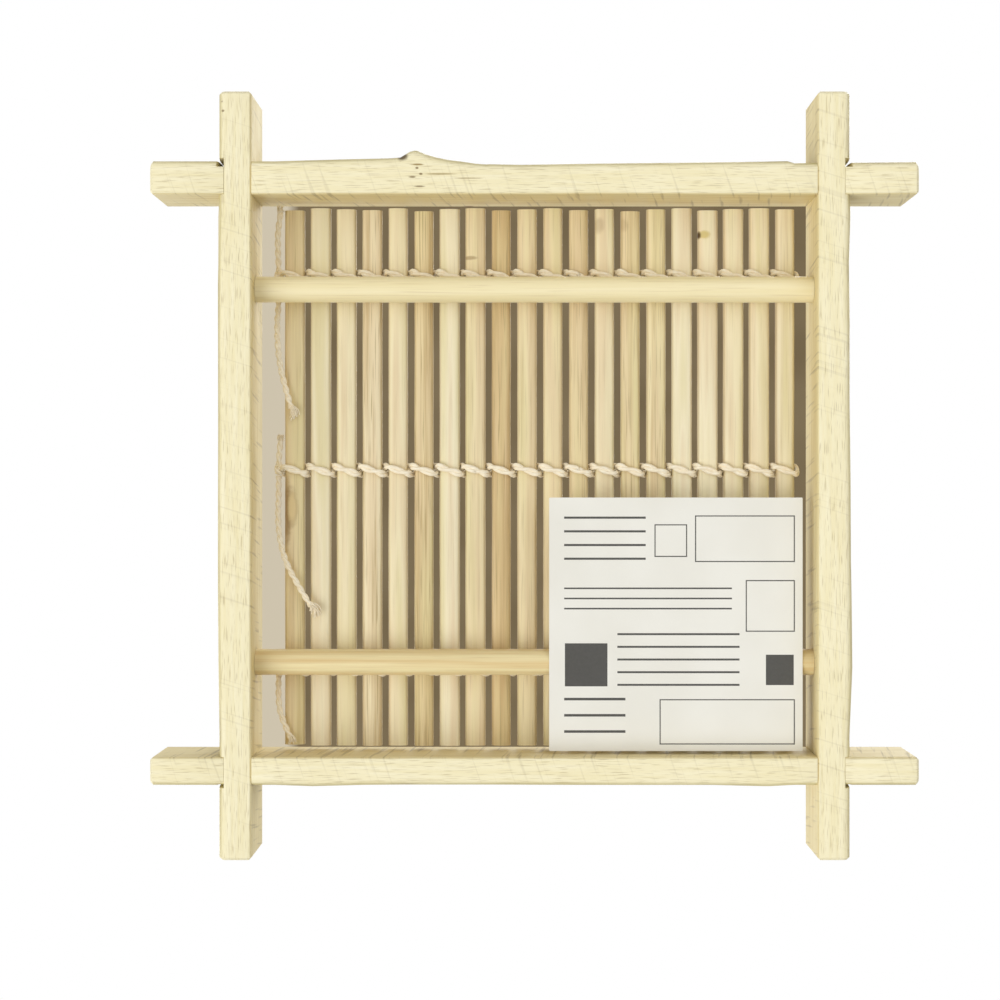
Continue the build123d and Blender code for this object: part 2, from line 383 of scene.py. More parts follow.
# %% Node group: dark mark
mark, given, leaving = new_tree(
    "Dark mark",
    "ShaderNodeTree",
    [
        ("Vector", "Vector", None),
        ("Centre", "Vector", None),
        ("Size", "Vector", (0.001, 0.003, 0.003)),
        ("Raggedness", "Float", 0.4),
    ],
    [("Mask", "Float", None)],
)
away = vector_node("SUBTRACT", given["Vector"], given["Centre"])
far = vector_node("LENGTH", vector_node("DIVIDE", away, given["Size"]))
ragged = noise_node(given["Vector"], 900.0)
rough = math_node("MULTIPLY_ADD", ragged, given["Raggedness"], far)
rim = {"Value": rough, "From Min": 1.3, "From Max": 0.6}
spot = add_node(mark, "ShaderNodeMapRange", rim, interpolation_type="SMOOTHSTEP")
feed(spot, leaving["Mask"])
print("mark group with", len(mark.nodes), "nodes")

# %% [markdown]
# The bars were split and then sawn by hand, so faint slanted lines cross the faces. They are
# one noise texture again, stretched along a slant, and cut off so that only a few show.

# %% Node group: saw marks
saw, given, leaving = new_tree(
    "Saw marks",
    "ShaderNodeTree",
    [
        ("Vector", "Vector", None),
        ("Across", "Vector", (-0.3, 0.9, -0.3)),
        ("Fineness", "Float", 1100.0),
    ],
    [("Mask", "Float", None)],
)
along = vector_node("DOT_PRODUCT", given["Vector"], given["Across"])
lines = combined(X=times(along, given["Fineness"]))
slow = vector_node("SCALE", given["Vector"], scale=55.0)
pattern = noise_node(vector_node("ADD", slow, lines), 1.0, detail=1.0)
feed(ranged(pattern, 0.6, 0.74), leaving["Mask"])
print("saw group with", len(saw.nodes), "nodes")

# %% Helpers for bamboo materials
BAMBOO_SPECULAR = 0.35
BAMBOO_BUMP = 0.6


def grain_nodes(tree, stretch, fineness, dashes):
    """Object coordinates, and the outputs of the grain group drawn out along one axis."""
    place = add_node(tree, "ShaderNodeTexCoord").outputs["Object"]
    inputs = {"Fineness": fineness, "Dash Amount": dashes, "Vector": drawn_out(place, stretch)}
    return place, add_node(tree, "ShaderNodeGroup", inputs, node_tree=grain).outputs


def marked(place, colour, marks):
    """A colour with marks in it: a centre and a size in mm, a colour and a strength each."""
    for centre, size, mark_colour, amount in marks:
        inputs = {"Vector": place, "Centre": Vector(centre) * MM, "Size": Vector(size) * MM}
        spot = add_node(tree_of(place), "ShaderNodeGroup", inputs, node_tree=mark)
        colour = mixed(times(spot, amount), colour, mark_colour)
    return colour


def finished_bamboo(surface, colour, roughness, height, depth):
    """The surface of a bamboo piece."""
    looks = {"Base Color": colour, "Roughness": roughness, "Specular IOR Level": BAMBOO_SPECULAR}
    finished(surface, height, BAMBOO_BUMP, depth, looks)


# %% [markdown]
# A bar is a wedge out of the culm wall. Its sawn faces are pale and dashed, its inner face is
# the smooth tan lining of the culm, and the outside keeps a greenish-yellow skin. How deep a
# point lies in the wall finds the lining, and the way the surface faces finds the skin, so the
# material needs no painting.

# %% Bar materials
side_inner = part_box("right_bar")[0].x
end_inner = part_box("back_bar")[0].y
wall_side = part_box("right_bar")[1].x - side_inner
wall_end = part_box("back_bar")[1].y - end_inner

SAWN_PALE = srgb(251, 243, 208)
SAWN_WARM = srgb(244, 233, 188)
DASH_BROWN = srgb(170, 148, 98)
LINING_TAN = srgb(238, 224, 174)
LINING_DARK = srgb(223, 204, 149)
SKIN_STRAW = srgb(226, 213, 158)
SKIN_OLIVE = srgb(196, 182, 124)
SKIN_ROUGHNESS = 0.36
BARK_BROWN = srgb(128, 106, 66)
NODE_BROWN = srgb(92, 74, 44)


def bar_material(name, axis, inner, wall, stretch, across, marks):
    """Split bamboo whose wall lies along one axis, from the opening outwards."""
    material, tree, surface = new_material(name)
    place, pattern = grain_nodes(tree, stretch, fineness=900.0, dashes=0.42)
    offset = axes(place)[axis]
    depth = ranged(math_node("ABSOLUTE", offset), inner, inner + wall)
    at_lining = ranged(depth, 0.045, 0.02)
    wood = mixed(pattern["Streak"], SAWN_WARM, SAWN_PALE)
    wood = mixed(pattern["Dash"], wood, DASH_BROWN)
    lining = mixed(pattern["Streak"], LINING_DARK, LINING_TAN)
    colour = mixed(at_lining, wood, lining)
    inputs = {"Vector": place, "Across": across}
    sawn = add_node(tree, "ShaderNodeGroup", inputs, node_tree=saw)
    sawn = times(sawn, ranged(at_lining, 0.0, 1.0, 0.13, 0.4))
    colour = mixed(sawn, colour, BARK_BROWN)

    facing = axes(add_node(tree, "ShaderNodeTexCoord").outputs["Normal"])[axis]
    outwards = times(facing, math_node("SIGN", offset))
    at_skin = ranged(outwards, 0.5, 0.86)
    skin = mixed(pattern["Streak"], SKIN_OLIVE, SKIN_STRAW)
    speckled = drawn_out(place, [0.15 + 0.85 * share for share in stretch])
    freckles = ranged(noise_node(speckled, 420.0, detail=5.0), 0.56, 0.72, 0.0, 0.5)
    skin = mixed(freckles, skin, BARK_BROWN)
    colour = marked(place, mixed(at_skin, colour, skin), marks)
    inputs = {0: at_skin, 2: ranged(pattern["Streak"], 0.0, 1.0, 0.62, 0.5), 3: SKIN_ROUGHNESS}
    roughness = add_node(tree, "ShaderNodeMix", inputs, data_type="FLOAT")
    finished_bamboo(surface, colour, roughness, pattern["Height"], 0.1 * MM)
    return material


rod_boxes = {name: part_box(name) for name in ("front_rod", "back_rod")}
rod_middles = [(low + high) / 2 / MM for low, high in rod_boxes.values()]
SIDE_MARKS = [
    ((side * side_inner / MM, rod.y, rod_middles[0].z - 0.4), (0.5, 4.1, 4.4), BARK_BROWN, 0.55)
    for side in (-1, 1)
    for rod in rod_middles
] + [
    ((-72.9, -85.4, 0), (0.5, 0.35, 1.0), BARK_BROWN, 0.8),
    ((-73.2, -87.6, 0), (0.4, 0.3, 1.0), BARK_BROWN, 0.5),
]
END_MARKS = [
    ((-30.9, -74.7, 6), (1.5, 1.3, 30), NODE_BROWN, 0.95),
    ((-33.0, -75.0, 6), (1.5, 0.8, 30), NODE_BROWN, 0.35),
    ((-27.4, -72.8, 0), (1.9, 0.28, 2), DASH_BROWN, 1.0),
    ((-27.5, -72.0, 0), (0.5, 0.3, 2), BARK_BROWN, 0.9),
    ((-26.6, -70.6, 0), (0.55, 0.3, 2), BARK_BROWN, 0.9),
    ((-28.6, -69.9, 0), (1.0, 0.28, 2), BARK_BROWN, 0.8),
    ((-26.9, -67.7, 0), (1.5, 0.26, 2), BARK_BROWN, 0.8),
    ((-22.0, -70.6, 0), (4.5, 0.24, 2), DASH_BROWN, 0.8),
    ((-15.5, -69.6, 0), (3.8, 0.2, 2), DASH_BROWN, 0.7),
    ((-16.0, -65.9, 19.5), (1.6, 0.8, 0.9), BARK_BROWN, 0.9),
]
ALONG_Y = (1.0, 0.05, 1.0), (-0.35, 0.95, -0.12)
ALONG_X = (0.05, 1.0, 1.0), (0.95, -0.35, -0.12)
side_wall = ("X", side_inner, wall_side)
end_wall = ("Y", end_inner, wall_end)
side_bar_bamboo = bar_material("side_bar_bamboo", *side_wall, *ALONG_Y, SIDE_MARKS)
end_bar_bamboo = bar_material("end_bar_bamboo", *end_wall, *ALONG_X, END_MARKS)
print("bar walls", round(wall_side / MM, 1), "and", round(wall_end / MM, 1), "mm")

# %% [markdown]
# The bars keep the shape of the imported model. Real sawn edges are sanded, so each bar is a
# copy of its node with merged corners and a fine bevel on every sharp edge, shaded smooth.
# A culm is never quite straight, and it swells at a node with a sharp step on one side.
# So each copy is first cut into short lengths between its laps, and the skin side of each cut
# is moved in or out: by a table of growth for that bar, and by slow noise. In the laps and
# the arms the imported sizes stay, because the bars have to fit each other there.

# %% Bars
EDGE_WEAR = 0.35 * MM
EDGE_SEGMENTS = 3
SHARP_ANGLE = math.radians(28)
SMOOTH_ANGLE = math.radians(50)
FLAT_ANGLE = math.radians(0.5)
CORNER_MERGE = 0.002 * MM
SKIN_DEPTH = 0.5 * MM
SKIN_WAVER = 0.14 * MM
WAVER_SCALE = 70
WAVER_CALM = 8 * MM
GROWTH_REACH = 61.5 * MM
FRONT_GROWTH = (
    (-61, 1.085), (-45, 1.052), (-33.8, 1.085), (-32.2, 1.1), (-31.5, 1.066), (-30.3, 1.085),
    (-29.2, 1.1), (-28.3, 1.08), (-27.5, 1.1), (-25.7, 1.065), (-23.1, 1.05), (-20, 1.07),
    (-17.5, 1.07), (-13.9, 1.05), (-10.4, 1.066), (-3, 1.03), (15, 1.045), (39, 1.05),
    (48, 1.06), (61, 1.07),
)
BACK_GROWTH = (
    (-61, 1.07), (-52, 1.04), (-40, 1.01), (-30, 0.99), (-10, 0.99), (10, 0.99), (30, 0.99),
    (42, 1.0), (50, 1.03), (55, 1.05), (61, 1.08),
)
LEFT_GROWTH = (
    (-61, 1.05), (-45, 1.045), (-28, 1.05), (-10, 1.045), (8, 1.05), (26, 1.045), (44, 1.04),
    (61, 1.05),
)
RIGHT_GROWTH = (
    (-61, 1.03), (-50, 1.0), (-36, 1.01), (-18, 1.01), (0, 1.03), (20, 1.04), (30, 1.06),
    (45, 1.09), (61, 1.1),
)


def baked_modifiers(piece):
    """The piece with its modifiers made into plain mesh."""
    bpy.context.view_layer.update()
    graph = bpy.context.evaluated_depsgraph_get()
    mesh = bpy.data.meshes.new_from_object(piece.evaluated_get(graph))
    piece.modifiers.clear()
    piece.data = mesh
    return piece


def growth_at(table, place):
    """The growth at a place along a bar, in a straight line between table entries."""
    for (start, low), (end, high) in zip(table, table[1:]):
        if start * MM <= place <= end * MM:
            return low + (high - low) * (place / MM - start) / (end - start)
    return 1.0


def weather(work, along, inner, table):
    """Cuts a bar at the table's stations and moves its skin side there, between the laps."""
    across = 1 - along
    ways = Vector([float(number == along) for number in range(3)])
    for station, _ in table:
        everything = work.verts[:] + work.edges[:] + work.faces[:]
        bmesh.ops.bisect_plane(work, geom=everything, plane_co=ways * station * MM, plane_no=ways)
    for vertex in work.verts:
        place = vertex.co[along]
        depth = abs(vertex.co[across]) - inner
        if abs(place) > GROWTH_REACH or depth < SKIN_DEPTH:
            continue
        side = math.copysign(1, vertex.co[across])
        calm = min(1.0, (GROWTH_REACH - abs(place)) / WAVER_CALM)
        sample = Vector((place * WAVER_SCALE, side * 3 + along * 5, 0.5))
        waver = noise.noise(sample) * SKIN_WAVER * calm
        vertex.co[across] = side * (inner + depth * growth_at(table, place) + waver)


def worn_bar(node, material, along, inner, table):
    """A copy of a packed bar with its skin side weathered and its sharp edges rounded."""
    mesh = frame["nodes"][node].data.copy()
    work = bmesh.new()
    work.from_mesh(mesh)
    bmesh.ops.remove_doubles(work, verts=work.verts, dist=CORNER_MERGE)
    bmesh.ops.dissolve_limit(work, angle_limit=FLAT_ANGLE, verts=work.verts, edges=work.edges)
    weather(work, along, inner, table)
    work.to_mesh(mesh)
    work.free()
    mesh.materials.clear()
    mesh.materials.append(material)
    piece = place_object(f"{node}_wood", mesh)
    bevel = piece.modifiers.new("sanded edges", "BEVEL")
    bevel.width = EDGE_WEAR
    bevel.segments = EDGE_SEGMENTS
    bevel.limit_method = "ANGLE"
    bevel.angle_limit = SHARP_ANGLE
    bevel.use_clamp_overlap = True
    baked_modifiers(piece)
    piece.data.shade_smooth()
    piece.data.set_sharp_from_angle(angle=SMOOTH_ANGLE)
    return piece


for node, material, along, inner, table in (
    ("left_bar", side_bar_bamboo, 1, side_inner, LEFT_GROWTH),
    ("right_bar", side_bar_bamboo, 1, side_inner, RIGHT_GROWTH),
    ("front_bar", end_bar_bamboo, 0, end_inner, FRONT_GROWTH),
    ("back_bar", end_bar_bamboo, 0, end_inner, BACK_GROWTH),
):
    bar = worn_bar(node, material, along, inner, table)
    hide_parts(node)
    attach(bar, "frame")
    print(bar.name, len(bar.data.polygons), "faces")

# %% [markdown]
# What follows a path or repeats by a rule is made by Geometry Nodes: a tree with named sizes,
# whose result is turned into a plain mesh. The next helpers begin and end such a tree, and grow
# it on a small starting mesh, with its named inputs set.

# %% Helpers for Geometry Nodes


def new_geometry_tree(name, inputs):
    """A tree that takes and gives geometry, with named inputs and a material."""
    shape = ("Geometry", "Geometry", None)
    sockets = [shape, *inputs, ("Material", "Material", None)]
    return new_tree(name, "GeometryNodeTree", sockets, [shape])


def finish_tree(geometry, given, leaving):
    """Realize Instances and Set Material, which every tree ends in."""
    tree = tree_of(geometry)
    real = add_node(tree, "GeometryNodeRealizeInstances", {0: geometry})
    smooth = add_node(tree, "GeometryNodeSetShadeSmooth", {"Geometry": real})
    inputs = {"Geometry": smooth, "Material": given["Material"]}
    feed(add_node(tree, "GeometryNodeSetMaterial", inputs), leaving[0])


def stored(geometry, name, value):
    """Geometry with a value kept on its points under a name."""
    inputs = {"Geometry": geometry, "Name": name, "Value": value}
    kind = "GeometryNodeStoreNamedAttribute"
    return add_node(tree_of(geometry), kind, inputs, data_type="FLOAT")


def swept(curve, profile, **more):
    """A closed tube along a curve."""
    inputs = {"Curve": curve, "Profile Curve": profile, "Fill Caps": True, **more}
    return add_node(tree_of(curve), "GeometryNodeCurveToMesh", inputs)


def moved(geometry, offset):
    """Geometry with its points moved."""
    inputs = {"Geometry": geometry, "Offset": offset}
    return add_node(tree_of(offset), "GeometryNodeSetPosition", inputs)


def drift_node(stretch, seed, ways, amount):
    """A slow random move of each point, held to the given ways."""
    sample = add_node(tree_of(amount), "GeometryNodeInputPosition")
    sample = vector_node("MULTIPLY", sample, stretch)
    if seed is not None:
        sample = vector_node("ADD", sample, combined(X=seed))
    colour = noise_node(sample, 1.0).outputs["Color"]
    drift = vector_node("SUBTRACT", colour, (0.5, 0.5, 0.5))
    return vector_node("SCALE", vector_node("MULTIPLY", drift, ways), scale=amount)


def grown(name, tree, values, start_mesh=None):
    """A piece that a geometry tree makes from the given values, as a plain mesh."""
    piece = place_object(name, start_mesh or bpy.data.meshes.new(f"{name}_start"))
    modifier = piece.modifiers.new("grow", "NODES")
    modifier.node_group = tree
    for item in tree.interface.items_tree:
        if item.in_out == "INPUT" and item.name in values:
            modifier[item.identifier] = values[item.name]
    return baked_modifiers(piece)


# %% [markdown]
# A slat is split off the culm and lightly tumbled: flat skin side up, a softly crowned underside
# with rounded edges, and never quite straight. The tree sweeps a filleted rectangle along
# the slat, crowns the underside, and lets slow noise waver its edges. It also stores where
# a point lies across the slat, and how dark and how streaky the slat is, for the material.

# %% Geometry tree: split slat
SLAT_STATIONS = 72
SLAT_OUTLINE_STEP = 0.27 * MM
tree, given, leaving = new_geometry_tree(
    "Split slat",
    [
        ("Centre", "Vector", (0, 0, 0)),
        ("Width", "Float", 4.9 * MM),
        ("Length", "Float", 129 * MM),
        ("Thickness", "Float", 2.8 * MM),
        ("Crown", "Float", 0.35 * MM),
        ("Edge Radius", "Float", 0.85 * MM),
        ("Waver", "Float", 0.22 * MM),
        ("Tone", "Float", 0.5),
        ("Figure", "Float", 0.5),
        ("Seed", "Float", 0.0),
    ],
)
half_length = times(given["Length"], 0.5)
inputs = {"Start": combined(Y=times(half_length, -1.0)), "End": combined(Y=half_length)}
line = add_node(tree, "GeometryNodeCurvePrimitiveLine", inputs)
stations = add_node(tree, "GeometryNodeResampleCurve", {"Curve": line, "Count": SLAT_STATIONS})
upright = add_node(tree, "GeometryNodeSetCurveNormal", {"Curve": stations}, mode="Z_UP")
height = minus(given["Thickness"], given["Crown"])
inputs = {"Width": given["Width"], "Height": height}
outline = add_node(tree, "GeometryNodeCurvePrimitiveQuadrilateral", inputs)
inputs = {"Curve": outline, "Radius": given["Edge Radius"], "Count": 6}
rounded = add_node(tree, "GeometryNodeFilletCurve", inputs, mode="POLY")
inputs = {"Curve": rounded, "Length": SLAT_OUTLINE_STEP}
spaced = add_node(tree, "GeometryNodeResampleCurve", inputs, mode="LENGTH")
body = swept(upright, spaced)
parts = axes(add_node(tree, "GeometryNodeInputPosition"))
half_width = times(given["Width"], 0.5)
across = math_node("DIVIDE", parts["X"], half_width)
for name, value in (("across", across), ("tone", given["Tone"]), ("figure", given["Figure"])):
    body = stored(body, name, value)
bow = minus(1.0, times(across, across))
below = math_node("LESS_THAN", parts["Z"], 0.0)
sag = times(times(bow, below), given["Crown"])
rise = minus(times(given["Crown"], 0.5), sag)
seat = vector_node("ADD", combined(Z=rise), given["Centre"])
drift = drift_node((60.0, 45.0, 120.0), given["Seed"], (1.0, 0.0, 0.35), given["Waver"])
finish_tree(moved(body, vector_node("ADD", seat, drift)), given, leaving)
slat_tree = tree
print("slat tree with", len(tree.nodes), "nodes")

# %% [markdown]
# Slats are sorted by nobody, so pale and tan ones lie side by side. The material mixes three
# tones by the slat's own number, paints shade on the rounded edges, and adds the scars that show in
# the photograph: a lens-shaped knot scar in the bitten edge of the first slat, a small dark
# eye with a yellow smear near the front, two faint stains and a short dash.

# %% Slat material
SLAT_PALE = srgb(246, 236, 203)
SLAT_STRAW = srgb(236, 220, 173)
SLAT_TAN = srgb(218, 192, 141)
SLAT_LINE = srgb(186, 156, 104)
SLAT_OLIVE = srgb(222, 210, 154)
SLAT_ROSE = srgb(226, 202, 162)
SLAT_DASH_AND_EDGE_SHADE = srgb(176, 154, 108)
SCAR_BROWN = srgb(146, 112, 64)
SCAR_PALE = srgb(226, 204, 152)
SCAR_YELLOW = srgb(208, 188, 112)
SCAR_DARK = srgb(74, 50, 24)
SLAT_MARKS = {
    "bitten edge": ((-60.0, 8.4), (1.9, 10.5), SCAR_BROWN, 0.75),
    "scar rim": ((-58.4, 7.6), (1.75, 5.6), SCAR_BROWN, 0.55),
    "knot scar": ((-58.3, 7.5), (1.35, 4.6), SCAR_PALE, 0.95),
    "front smear": ((40.9, -58.2), (1.9, 1.25), SCAR_YELLOW, 0.8),
    "front eye": ((39.5, -58.1), (0.85, 1.15), SCAR_DARK, 0.95),
    "stain left": ((15.4, -60.4), (1.9, 2.3), SCAR_BROWN, 0.3),
    "stain right": ((21.4, -60.6), (1.6, 2.0), SCAR_BROWN, 0.26),
    "small dash": ((-15.7, -52.6), (2.3, 0.6), SCAR_BROWN, 0.55),
}

slat_bamboo, tree, surface = new_material("slat_bamboo")
place, pattern = grain_nodes(tree, (1.0, 0.02, 0.5), fineness=700.0, dashes=1.0)
tone, figure, across = [attribute(tree, name) for name in ("tone", "figure", "across")]
light_wood = mixed(ranged(tone, 0.0, 0.5), SLAT_PALE, SLAT_STRAW)
wood = mixed(ranged(tone, 0.5, 1.0), light_wood, SLAT_TAN)
bands = noise_node(drawn_out(place, (330.0, 17.0, 100.0)), 1.0, detail=1.5)
colour = mixed(ranged(bands, 0.5, 0.68, 0.0, 0.55), wood, SLAT_OLIVE)
colour = mixed(ranged(bands, 0.5, 0.34, 0.0, 0.55), colour, SLAT_ROSE)
streaks = ranged(pattern["Streak"], 0.35, 1.0, 0.0, 0.8)
streaks = times(streaks, ranged(figure, 0.0, 1.0, 0.06, 1.0))
colour = mixed(streaks, colour, SLAT_LINE)
dashes = times(pattern["Dash"], ranged(figure, 0.0, 1.0, 0.06, 0.7))
colour = mixed(dashes, colour, SLAT_DASH_AND_EDGE_SHADE)
# Painted shade: the rounded edges of each slat are darkened where they turn away from the light.
# The same brown also colours the real grain dashes above.
edge = ranged(math_node("ABSOLUTE", across), 0.8, 1.02, 0.0, 0.75)
colour = mixed(edge, colour, SLAT_DASH_AND_EDGE_SHADE)
mark_height = (mat_height - slat_thickness / 2) / MM
marks = [
    ((*centre, mark_height), (*size, slat_thickness / MM), mark_colour, amount)
    for centre, size, mark_colour, amount in SLAT_MARKS.values()
]
colour = marked(place, colour, marks)
roughness = ranged(pattern["Streak"], 0.0, 1.0, 0.46, 0.6)
finished_bamboo(surface, colour, roughness, pattern["Height"], 0.05 * MM)
print("slat material with", len(SLAT_MARKS), "marks")

# %% Slats
SLAT_TONES = (
    0.54, 0.08, 0.24, 0.20, 0.26, 0.66, 0.08, 0.42, 0.98, 0.46,
    0.48, 0.66, 0.26, 0.52, 0.46, 0.06, 0.10, 0.22, 0.20, 0.12,
)
SLAT_FIGURES = (
    0.45, 0.05, 0.12, 0.85, 0.10, 0.90, 0.08, 0.35, 0.95, 0.40,
    0.30, 0.60, 0.15, 0.75, 0.65, 0.05, 0.08, 0.20, 0.15, 0.30,
)
for index, name in enumerate(slat_names):
    low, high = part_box(name)
    values = {
        "Centre": (low + high) / 2,
        "Width": high.x - low.x,
        "Length": high.y - low.y,
        "Thickness": high.z - low.z,
        "Tone": SLAT_TONES[index],
        "Figure": SLAT_FIGURES[index],
        "Seed": float(index * 7),
        "Material": slat_bamboo,
    }
    slat = grown(f"{name}_wood", slat_tree, values)
    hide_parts(name)
    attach(slat, f"mat_{index + 1:02d}")
print("slats of", len(slat.data.polygons), "faces each")

# %% [markdown]
# The rods are smoother and yellower than the bars, with few dashes. One of them has aged
# to gold, so the material mixes a fresh and an aged colour by the rod's own number.

# %% Rod material
ROD_CREAM = srgb(249, 237, 194)
ROD_YELLOW = srgb(243, 229, 179)
ROD_GOLD = srgb(222, 192, 134)
ROD_FIBRE = srgb(186, 152, 96)

rod_bamboo, tree, surface = new_material("rod_bamboo")
place, pattern = grain_nodes(tree, (0.02, 1.0, 1.0), fineness=600.0, dashes=0.2)
tone = attribute(tree, "tone")
fresh = mixed(pattern["Streak"], ROD_YELLOW, ROD_CREAM)
aged = mixed(pattern["Streak"], ROD_GOLD, ROD_YELLOW)
colour = mixed(pattern["Dash"], mixed(tone, fresh, aged), ROD_FIBRE)
roughness = ranged(pattern["Streak"], 0.0, 1.0, 0.5, 0.38)
finished_bamboo(surface, colour, roughness, pattern["Height"], 0.05 * MM)

# %% [markdown]
# The rods are turned round and a little uneven. One tree sweeps a circle along the rod, and
# slow noise makes its thickness waver by a few hundredths of a millimetre.

# %% Geometry tree: turned rod
ROD_STATIONS = 160
ROD_SIDES = 40
tree, given, leaving = new_geometry_tree(
    "Turned rod",
    [
        ("Start", "Vector", (0, 0, 0)),
        ("End", "Vector", (0.1, 0, 0)),
        ("Radius", "Float", 3.1 * MM),
        ("End Bevel", "Float", 0.4 * MM),
        ("Waver", "Float", 0.06 * MM),
        ("Tone", "Float", 0.0),
        ("Seed", "Float", 0.0),
    ],
)
inputs = {"Start": given["Start"], "End": given["End"]}
line = add_node(tree, "GeometryNodeCurvePrimitiveLine", inputs)
stations = add_node(tree, "GeometryNodeResampleCurve", {"Curve": line, "Count": ROD_STATIONS})
along = add_node(tree, "GeometryNodeSplineParameter").outputs["Length"]
whole = add_node(tree, "GeometryNodeSplineLength").outputs["Length"]
nearest_end = math_node("MINIMUM", along, minus(whole, along))
narrowing = minus(given["End Bevel"], nearest_end)
narrowing = math_node("MAXIMUM", narrowing, 0.0)
radius = minus(given["Radius"], narrowing)
inputs = {"Resolution": ROD_SIDES, "Radius": 1.0}
ring = add_node(tree, "GeometryNodeCurvePrimitiveCircle", inputs)
drift = drift_node((50.0, 300.0, 300.0), given["Seed"], (0.0, 1.0, 1.0), given["Waver"])
body = moved(swept(stations, ring, Scale=radius), drift)
finish_tree(stored(body, "tone", given["Tone"]), given, leaving)
rod_tree = tree

# %% Rods
for number, (name, (low, high)) in enumerate(rod_boxes.items()):
    middle = (low + high) / 2
    values = {
        "Start": (low.x, middle.y, middle.z),
        "End": (high.x, middle.y, middle.z),
        "Radius": (high.z - low.z) / 2,
        "Tone": float(number),
        "Seed": 30.0 + 11.0 * number,
        "Material": rod_bamboo,
    }
    rod = grown(f"{name}_wood", rod_tree, values)
    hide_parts(name)
    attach(rod, "frame")
    print(rod.name, len(rod.data.polygons), "faces")

# %% [markdown]
# The twine is two soft plies of undyed fibre, laid up right-handed. In each row one strand
# runs out and back: it comes back over a slat where it went under, and its two runs change
# sides in every gap.
# A modelled lay is better than a bump here, because the plies cast shadows on each other.
# One tree makes it all: it follows a polyline, offsets each ply round it, and sweeps a circle.
# The lay turns by the length along the strand, which is stored on the points, so pieces that
# are cut apart at the slats still match.

# %% Geometry tree: laid twine
FUZZ_SCALE = 1400.0
tree, given, leaving = new_geometry_tree(
    "Laid twine",
    [
        ("Ply Radius", "Float", 0.48 * MM),
        ("Spread", "Float", 0.42 * MM),
        ("Flatness", "Float", 0.36),
        ("Lay Length", "Float", 8.2 * MM),
        ("Fuzz", "Float", 0.06 * MM),
        ("Sides", "Int", 12),
    ],
)


def read_back(name, kind):
    """A value that the starting mesh carries under a name."""
    kept = add_node(tree, "GeometryNodeInputNamedAttribute", {"Name": name}, data_type=kind)
    return kept.outputs["Attribute"]


path = add_node(tree, "GeometryNodeMeshToCurve", {"Mesh": given["Geometry"]})
tangent = add_node(tree, "GeometryNodeInputTangent")
flat_way = read_back("flat_way", "FLOAT_VECTOR")
lean = vector_node("DOT_PRODUCT", flat_way, tangent)
along_part = vector_node("SCALE", tangent, scale=lean)
sideways = vector_node("NORMALIZE", vector_node("SUBTRACT", flat_way, along_part))
outward = vector_node("CROSS_PRODUCT", sideways, tangent)
turns = math_node("DIVIDE", read_back("run_length", "FLOAT"), given["Lay Length"])
angle = times(turns, 2 * math.pi)
joined = add_node(tree, "GeometryNodeJoinGeometry")
for ply in (0, 1):
    phase = math_node("ADD", angle, ply * math.pi)
    wide = times(math_node("COSINE", phase), given["Spread"])
    thin = times(times(math_node("SINE", phase), given["Spread"]), given["Flatness"])
    wide = vector_node("SCALE", sideways, scale=wide)
    thin = vector_node("SCALE", outward, scale=thin)
    ply_path = moved(path, vector_node("ADD", wide, thin))
    inputs = {"Resolution": given["Sides"], "Radius": given["Ply Radius"]}
    circle = add_node(tree, "GeometryNodeCurvePrimitiveCircle", inputs)
    around = add_node(tree, "GeometryNodeSplineParameter").outputs["Factor"]
    feed(swept(ply_path, stored(circle, "around", around)), joined.inputs[0])
fuzz = drift_node((FUZZ_SCALE,) * 3, None, (1.0, 1.0, 1.0), given["Fuzz"])
finish_tree(moved(joined, fuzz), given, leaving)
twine_tree = tree
print("twine tree with", len(tree.nodes), "nodes")

# %% [markdown]
# Undyed plant fibre is matt and cream, a little darker between the fibres. A noise texture is
# drawn out along each ply by its own coordinates, so the fibres run with the lay.

# %% Twine material
TWINE_CREAM = srgb(255, 248, 227)
TWINE_SHADE = srgb(243, 227, 194)
TWINE_WARM = srgb(251, 235, 204)
FIBRES_AROUND = 9.0
FIBRES_ALONG = 500.0

twine_fibre, tree, surface = new_material("twine_fibre")
around = attribute(tree, "around")
length = attribute(tree, "run_length")
lay = combined(X=times(around, FIBRES_AROUND), Y=times(length, FIBRES_ALONG))
fibres = noise_node(lay, 1.6, detail=4.0)
place = add_node(tree, "ShaderNodeTexCoord").outputs["Object"]
blotch = ranged(noise_node(place, 260.0), 0.45, 0.75, 0.0, 0.5)
colour = mixed(ranged(fibres, 0.35, 0.65), TWINE_SHADE, TWINE_CREAM)
colour = mixed(blotch, colour, TWINE_WARM)
looks = {"Base Color": colour, "Roughness": 0.9, "Sheen Weight": 0.25, "Specular IOR Level": 0.15}
finished(surface, fibres, 0.5, 0.08 * MM, looks)

# %% [markdown]
# The line of a woven strand is a smooth curve through a few points for every slat: straight
# over the slat, and round its edges into the gap. The curve is sampled once for the whole
# strand, and then cut at the middle of each slat.

# %% Woven strands
ROWS = {"front_twine": -48.2 * MM, "middle_twine": -1.5 * MM, "back_twine": 46.4 * MM}
STRAND_REACH = 2.05 * MM
STRAND_OFFSET = 0.9 * MM
CORNER_X = 0.34 * MM
CORNER_DROP = 0.62 * MM
FLAT_X = 2.6 * CORNER_X
FLAT_SHARE = 0.9
RUN_SHARE = 0.3
RUN_LEAN = 0.45
NURBS_ORDER = 3
gap_line = [mat_left + number * pitch for number in range(len(slat_names) + 1)]


